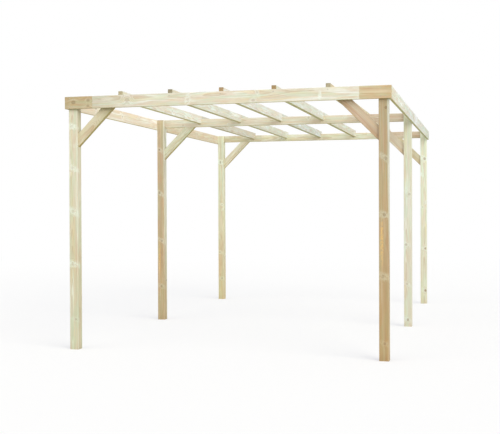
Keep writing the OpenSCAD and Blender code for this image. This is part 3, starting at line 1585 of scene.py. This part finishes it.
@dataclass
class Beams(SubAssembly):
    """The three cross beams between the posts.

    Attributes:
        thickness: thickness of a beam, in metres.
        height: its height, in metres.
        splice_at: distance of the right-hand finger joint from the middle of the middle and
            the back beam, in metres.
        back_splice_at: the same for the left-hand finger joint of the back beam.
        middle_tone: colours of the middle beam.
        back_tone: colours of the front and the back beam.
        tan_tone: colours beyond the right-hand finger joint.
        left_tone: colours beyond the left-hand finger joint.
    """

    thickness: float = 0.045
    height: float = 0.095
    splice_at: float = 1.03
    back_splice_at: float = -0.90
    middle_tone: Tone = Tone("E5E4D5", contrast=1.3, stain=0.35)
    back_tone: Tone = Tone("E6E8D5", contrast=1.4, stain=0.35)
    tan_tone: Tone = Tone("CFC2AE", contrast=1.2, stain=0.2)
    left_tone: Tone = Tone("D8D6BE", contrast=1.5, stain=0.2)

    def timbers(self) -> list[Timber]:
        """Describes the beams.

        Returns:
            The front, the middle and the back beam.
        """
        section = (self.thickness, self.height)
        tan = (Splice(self.splice_at, End.FAR, self.tan_tone),)
        left = Splice(self.back_splice_at, End.NEAR, self.left_tone)
        return [
            Timber("front_beam", Grain.ALONG_X, self.back_tone, section),
            Timber("middle_beam", Grain.ALONG_X, self.middle_tone, section, splices=tan),
            Timber("back_beam", Grain.ALONG_X, self.back_tone, section, splices=(*tan, left)),
        ]


@dataclass
class Boards(SubAssembly):
    """The front board and the side rails, with the screws that hold them.

    Attributes:
        thickness: thickness of a board, in metres.
        height: its height, in metres.
        left_splice: distance of a finger joint from the left end of the front board, in
            metres.
        right_splice: the same from its right end.
        screw_inset: distance of a screw from the edge of a board, in metres.
        screw_shares: places of the screws across a front post, as shares of its width.
        front_tone: colours of the front board between its finger joints.
        end_tone: colours beyond them.
        rail_tones: colours of each rail.
        spots: knots of the front board.
        AHEAD: direction that the screws of the front board face.
    """

    thickness: float = 0.028
    height: float = 0.120
    left_splice: float = 0.287
    right_splice: float = 0.294
    screw_inset: float = 0.022
    screw_shares: Pair = (0.27, 0.73)
    front_tone: Tone = Tone(
        "CDCCBB", contrast=1.5, stain=0.45, drift=(1.26, 1.27, 1.34), reach=-0.3
    )
    end_tone: Tone = Tone("C0B392", contrast=1.5, stain=0.25)
    rail_tones: dict[str, Tone] = field(
        default_factory=lambda: {
            "rail_front_left": Tone("F6F2E4", contrast=1.2, stain=0.2),
            "rail_back_left": Tone("E4DCC5", contrast=1.2, stain=0.3),
            "rail_front_right": Tone("EEF4EA", contrast=1.6, stain=0.4, drift=(0.87, 0.90, 0.98)),
            "rail_back_right": Tone("E6ECEC", contrast=1.3, stain=0.4, drift=(0.84, 0.89, 0.81)),
        }
    )
    spots: tuple[Knot, ...] = (
        Knot(-1.511, Face.MINUS_Y, 0.003, 0.018, 0.50, 0.1),
        Knot(-1.354, Face.MINUS_Y, 0.020, 0.014, 0.50, 0.1),
        Knot(-1.356, Face.MINUS_Y, -0.034, 0.012, 0.45, 0.1),
        Knot(-0.944, Face.MINUS_Y, 0.010, 0.019, 0.38, 0.2, -0.3),
        Knot(-0.325, Face.MINUS_Y, -0.005, 0.012, 0.28, 0.5, 0.1),
        Knot(0.319, Face.MINUS_Y, -0.036, 0.013, 0.35, 0.2, 0.5),
        Knot(0.357, Face.MINUS_Y, 0.036, 0.009, 0.30, 0.3, -0.4),
        Knot(0.951, Face.MINUS_Y, -0.012, 0.007, 0.15, 0.6, 0.1),
    )

    AHEAD = (0.0, -1.0, 0.0)

    def timbers(self) -> list[Timber]:
        """Describes the boards.

        Returns:
            The front board with a finger joint near each end, and the four side rails.
        """
        section = (self.thickness, self.height)
        low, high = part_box("front_board")
        half = (high[0] - low[0]) / 2
        front = Timber(
            "front_board",
            Grain.ALONG_X,
            self.front_tone,
            section,
            knots=self.spots,
            splices=(
                Splice(-half + self.left_splice, End.NEAR, self.end_tone),
                Splice(half - self.right_splice, End.FAR, self.end_tone),
            ),
        )
        rails = self.rail_tones.items()
        return [front, *(Timber(node, Grain.ALONG_Y, tone, section) for node, tone in rails)]

    def screws(self) -> list[ScrewSet]:
        """Gives one set for the front board and one for the rails of each side."""
        return [self._front_screws(), *(self._rail_screws(side) for side in Side)]

    def _front_screws(self) -> ScrewSet:
        """Places two pairs over each front post and one screw over each joist.

        Returns:
            The screws of the front board.
        """
        low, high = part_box("front_board")
        seats: list[Seat] = []
        for side in Side:
            post_low, post_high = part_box(f"post_front_{side.name.lower()}")
            for share in self.screw_shares:
                x = post_low[0] + share * (post_high[0] - post_low[0])
                seats += self._pair(x, low[1], "front_board", self.AHEAD)
        for number in range(1, JOISTS_IN_A_BAY + 1):
            joist_low, joist_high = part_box(f"joist_front_{number}")
            x = (joist_low[0] + joist_high[0]) / 2
            seats.append(Seat((x, low[1], high[2] - self.screw_inset), self.AHEAD))
        return ScrewSet("screws_front_board", seats)

    def _rail_screws(self, side: Side) -> ScrewSet:
        """Places a pair where each rail of one side lies on a post.

        Args:
            side: the side.

        Returns:
            The screws of that side's rails.
        """
        label = side.name.lower()
        seats: list[Seat] = []
        for bay, posts in BAYS.items():
            node = f"rail_{bay}_{label}"
            low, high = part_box(node)
            x = low[0] if side is Side.LEFT else high[0]
            for post in posts:
                y = shared_middle(node, f"post_{post}_{label}")
                seats += self._pair(x, y, node, (side.value, 0.0, 0.0))
        return ScrewSet(f"screws_rails_{label}", seats)

    def _pair(self, x: float, y: float, node: str, facing: Triple) -> list[Seat]:
        """Places two screws over one another, near the edges of a board.

        Args:
            x: their place from side to side, in metres.
            y: their place from front to back, in metres.
            node: name of the board's node.
            facing: direction that the heads face.

        Returns:
            The lower and the upper screw.
        """
        low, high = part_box(node)
        heights = (low[2] + self.screw_inset, high[2] - self.screw_inset)
        return [Seat((float(x), float(y), float(z)), facing) for z in heights]


@dataclass
class Joists(SubAssembly):
    """The notched joists of both bays and the screws down through them.

    Attributes:
        thickness: thickness of a joist, in metres.
        height: its height, in metres.
        front_tones: colours of the joists of the front bay, from left to right.
        back_tones: colours of the joists of the back bay, from left to right.
        UPWARD: direction that their screws face.
    """

    thickness: float = 0.045
    height: float = 0.095
    front_tones: tuple[Tone, ...] = (
        Tone("EFF4ED", contrast=1.3, stain=0.35, end="B6AD8B"),
        Tone("E5E9DF", contrast=1.3, stain=0.3, end="8B8469"),
        Tone("EBF1ED", contrast=1.3, stain=0.25, end="AA8D62"),
        Tone("E7EFE9", contrast=1.3, stain=0.35, end="A28656"),
        Tone("E2DCC3", contrast=1.3, stain=0.3, end="ACA68C"),
    )
    back_tones: tuple[Tone, ...] = (
        Tone("D9DBD1", contrast=1.3, stain=0.25),
        Tone("E1E7DE", contrast=1.3, stain=0.35),
        Tone("DAE1DE", contrast=1.3, stain=0.45),
        Tone("E3E8DF", contrast=1.3, stain=0.4),
        Tone("DAD2B4", contrast=1.3, stain=0.3),
    )

    UPWARD = (0.0, 0.0, 1.0)

    def timbers(self) -> list[Timber]:
        """Describes the joists.

        Returns:
            The joists of the front bay and of the back bay, from left to right.
        """
        section = (self.thickness, self.height)
        return [
            Timber(f"joist_{bay}_{number}", Grain.ALONG_Y, tone, section)
            for bay, tones in (("front", self.front_tones), ("back", self.back_tones))
            for number, tone in enumerate(tones, start=1)
        ]

    def screws(self) -> list[ScrewSet]:
        """Places one screw over each seat of each joist, in the middle of its top.

        Returns:
            One set for each bay.
        """
        sets = []
        for bay, beams in BAYS.items():
            seats = []
            for number in range(1, JOISTS_IN_A_BAY + 1):
                node = f"joist_{bay}_{number}"
                low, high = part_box(node)
                x = (low[0] + high[0]) / 2
                for beam in beams:
                    y = shared_middle(node, f"{beam}_beam")
                    seats.append(Seat((x, y, high[2]), self.UPWARD))
            sets.append(ScrewSet(f"screws_joists_{bay}", seats))
        return sets


@dataclass
class Braces(SubAssembly):
    """The six mitred braces and the screws near their ends.

    Attributes:
        thickness: thickness of a brace, in metres.
        width: its width, in metres.
        screw_from_tip: distance of the screws from a tip of the underside, in metres.
        screw_shares: places of two screws across a brace, as shares of its thickness.
        tones: colours of each brace.
    """

    thickness: float = 0.045
    width: float = 0.095
    screw_from_tip: float = 0.075
    screw_shares: Pair = (0.3, 0.7)
    tones: dict[str, Tone] = field(
        default_factory=lambda: {
            "front_left": Tone("D1CCB1", contrast=1.5, stain=0.3),
            "front_right": Tone("C8B8A0", contrast=1.6, stain=0.2),
            "middle_left": Tone("DEDFC6", contrast=1.5, stain=0.35),
            "middle_right": Tone("D5CCB8", contrast=1.6, stain=0.25),
            "back_left": Tone("E9E7CF", contrast=1.4, stain=0.3),
            "back_right": Tone("D3CDAF", contrast=1.4, stain=0.2),
        }
    )

    def timbers(self) -> list[Timber]:
        """Describes the braces.

        Returns:
            One timber for each brace, which rises away from its post.
        """
        turns = {Side.LEFT: Grain.RISING_RIGHT, Side.RIGHT: Grain.RISING_LEFT}
        section = (self.thickness, self.width)
        return [
            Timber(f"brace_{place}", turns[Side.of(place)], tone, section)
            for place, tone in self.tones.items()
        ]

    def screws(self) -> list[ScrewSet]:
        """Places two screws on the slanting underside near each end of each brace.

        The underside runs from the post at the foot of the brace to the beam at its
        head, and faces down and inwards.

        Returns:
            One set for all the braces.
        """
        seats = []
        for place in self.tones:
            low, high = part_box(f"brace_{place}")
            side = Side.of(place)
            # The ends of the underside: on the post and under the beam
            outer, inner = (low[0], high[0]) if side is Side.LEFT else (high[0], low[0])
            foot = np.array([outer, 0.0, low[2]])
            head = np.array([inner, 0.0, high[2]])
            along = (head - foot) / np.linalg.norm(head - foot)
            facing = (-side.value * math.sqrt(0.5), 0.0, -math.sqrt(0.5))
            for start, way in ((foot, 1.0), (head, -1.0)):
                spot = start + along * way * self.screw_from_tip
                for share in self.screw_shares:
                    y = low[1] + share * (high[1] - low[1])
                    seats.append(Seat((float(spot[0]), float(y), float(spot[2])), facing))
        return [ScrewSet("screws_braces", seats)]


# ---------------------------------------------------------------------------
# Studio
# ---------------------------------------------------------------------------


@dataclass(frozen=True)
class Lamp:
    """A broad soft lamp.

    Attributes:
        name: name of the lamp.
        strength: strength in watts a square metre.
        turn: turn about the vertical, in degrees.
        tilt: tilt away from straight down, in degrees.
        spread: how wide the lamp looks from the object, in degrees.
    """

    name: str
    strength: float
    turn: float
    tilt: float
    spread: float

    def build(self) -> None:
        """Adds the lamp to the scene."""
        lamp = bpy.data.lights.new(self.name, "SUN")
        lamp.energy = self.strength
        lamp.angle = math.radians(self.spread)
        holder = bpy.data.objects.new(self.name, lamp)
        holder.rotation_euler = (math.radians(self.tilt), 0.0, math.radians(self.turn))
        bpy.context.scene.collection.objects.link(holder)


@dataclass
class Studio:
    """A pale floor, an even sky and two soft lamps.

    Attributes:
        sky: strength of the even light from all round.
        lamps: the lamps.
        floor_radius: radius of the floor, in metres.
        floor_shade: share of each colour of light that the floor sends back up.
        lift: light that the floor adds where the camera sees it, so that it is white.
        fade: distances between which the floor turns into the white backdrop, in metres.
        floor_corners: corners of the floor.
        WHITE: the colour of the sky and the backdrop.
    """

    sky: float = 0.62
    lamps: tuple[Lamp, ...] = (
        Lamp("key_lamp", strength=2.0, turn=50.0, tilt=63.0, spread=50.0),
        Lamp("side_lamp", strength=0.7, turn=-40.0, tilt=60.0, spread=60.0),
    )
    floor_radius: float = 60.0
    floor_shade: Colour = (0.56, 0.54, 0.45)
    lift: Colour = (0.42, 0.44, 0.53)
    fade: Pair = (7.0, 16.0)
    floor_corners: int = 96

    WHITE = (1.0, 1.0, 1.0, 1.0)

    def floor(self) -> bpy.types.Object:
        """Builds a round floor whose rim is the radius times cosine and sine.

        Returns:
            The floor.
        """
        angle = np.linspace(0.0, 2 * math.pi, self.floor_corners, endpoint=False)
        rim = np.column_stack([np.cos(angle), np.sin(angle), np.zeros_like(angle)])
        points = (rim * self.floor_radius).tolist()
        floor = mesh_object("floor", points, [list(range(len(angle)))], self._floor_material())
        return floor

    @staticmethod
    def _seen(g: Graph) -> Socket:
        """Finds the light that reaches the camera, also by way of gloss or glass.

        Args:
            g: the graph of the material or the world.

        Returns:
            1 for such light and 0 for the rest.
        """
        rays = g.node("ShaderNodeLightPath").outputs
        mirrored = g.math("MAXIMUM", rays["Is Glossy Ray"], rays["Is Transmission Ray"])
        return g.math("MAXIMUM", rays["Is Camera Ray"], mirrored)

    def _floor_material(self) -> bpy.types.Material:
        """Makes the matt floor, which keeps the shadow and looks white to the camera.

        Returns:
            The material.
        """
        material, g = blank_material("studio_floor")
        seen = self._seen(g)
        # Near the carport: matt, with the light that it lacks added where it is seen
        matt = g.node("ShaderNodeBsdfDiffuse")
        matt.inputs["Color"].default_value = (*self.floor_shade, 1.0)
        glow = g.node("ShaderNodeEmission")
        glow.inputs["Color"].default_value = (*self.lift, 1.0)
        g.put(glow.inputs["Strength"], seen)
        near = g.node("ShaderNodeAddShader")
        g.put(near.inputs[0], matt.outputs[0])
        g.put(near.inputs[1], glow.outputs[0])
        # Far from it: plain white where it is seen, and matt for all other light
        white = g.node("ShaderNodeEmission")
        white.inputs["Color"].default_value = self.WHITE
        far = g.vector("LENGTH", g.node("ShaderNodeTexCoord").outputs["Object"])
        mixed = g.node("ShaderNodeMixShader")
        g.put(mixed.inputs[0], g.times(g.rise(far, *self.fade), seen))
        g.put(mixed.inputs[1], near.outputs[0])
        g.put(mixed.inputs[2], white.outputs[0])
        g.end(mixed.outputs[0])
        return material

    def world(self) -> None:
        """Lights the scene evenly, and shows white to the camera and to reflections."""
        world = bpy.data.worlds.new("studio_sky")
        bpy.context.scene.world = world
        world.use_nodes = True
        world.node_tree.nodes.clear()
        g = Graph(world.node_tree)
        sky = g.node("ShaderNodeBackground")
        sky.inputs["Color"].default_value = self.WHITE
        strength = g.math("MULTIPLY_ADD", self._seen(g), 1.0 - self.sky, self.sky)
        g.put(sky.inputs["Strength"], strength)
        g.end(sky.outputs[0], "ShaderNodeOutputWorld")

    def build(self) -> None:
        """Builds the whole studio."""
        self.floor()
        self.world()
        for lamp in self.lamps:
            lamp.build()


@dataclass
class View:
    """The camera, in front of the carport and to its right, at standing height.

    Attributes:
        place: where the camera stands, in metres.
        heading: how far it looks to the left of the depth direction, in degrees.
        pitch: how far it looks up, in degrees.
        roll: how far it leans, in degrees.
        lens: focal length, in millimetres.
        film: width of the film, in millimetres.
        reach: nearest and farthest distance that it sees, in metres.
    """

    place: Triple = (2.458, -10.913, 1.395)
    heading: float = 14.70
    pitch: float = -0.56
    roll: float = 0.22
    lens: float = 65.8
    film: float = 36.0
    reach: Pair = (0.1, 200.0)

    def build(self) -> bpy.types.Object:
        """Makes the camera and looks through it.

        Returns:
            The camera.
        """
        data = bpy.data.cameras.new("camera")
        data.lens = self.lens
        data.sensor_width = self.film
        data.clip_start, data.clip_end = self.reach
        camera = bpy.data.objects.new("camera", data)
        bpy.context.scene.collection.objects.link(camera)
        turn = Matrix.Rotation(math.radians(self.heading), 4, "Z")
        tilt = Matrix.Rotation(math.radians(90.0 + self.pitch), 4, "X")
        lean = Matrix.Rotation(math.radians(-self.roll), 4, "Z")
        camera.matrix_world = Matrix.Translation(self.place) @ turn @ tilt @ lean
        bpy.context.scene.camera = camera
        return camera


def main() -> None:
    """Dresses the frame, adds its screws and sets up the studio."""
    logging.basicConfig(level=logging.INFO, format="%(name)s: %(message)s")
    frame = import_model()
    bpy.context.scene.view_settings.view_transform = "Standard"
    View().build()
    Studio().build()
    finisher = PineFinisher(PineGroups())
    zinc = ZincFinish().material()
    for assembly in (Posts(), Beams(), Boards(), Joists(), Braces()):
        assembly.build(frame, finisher, zinc)


if __name__ == "__main__":
    main()
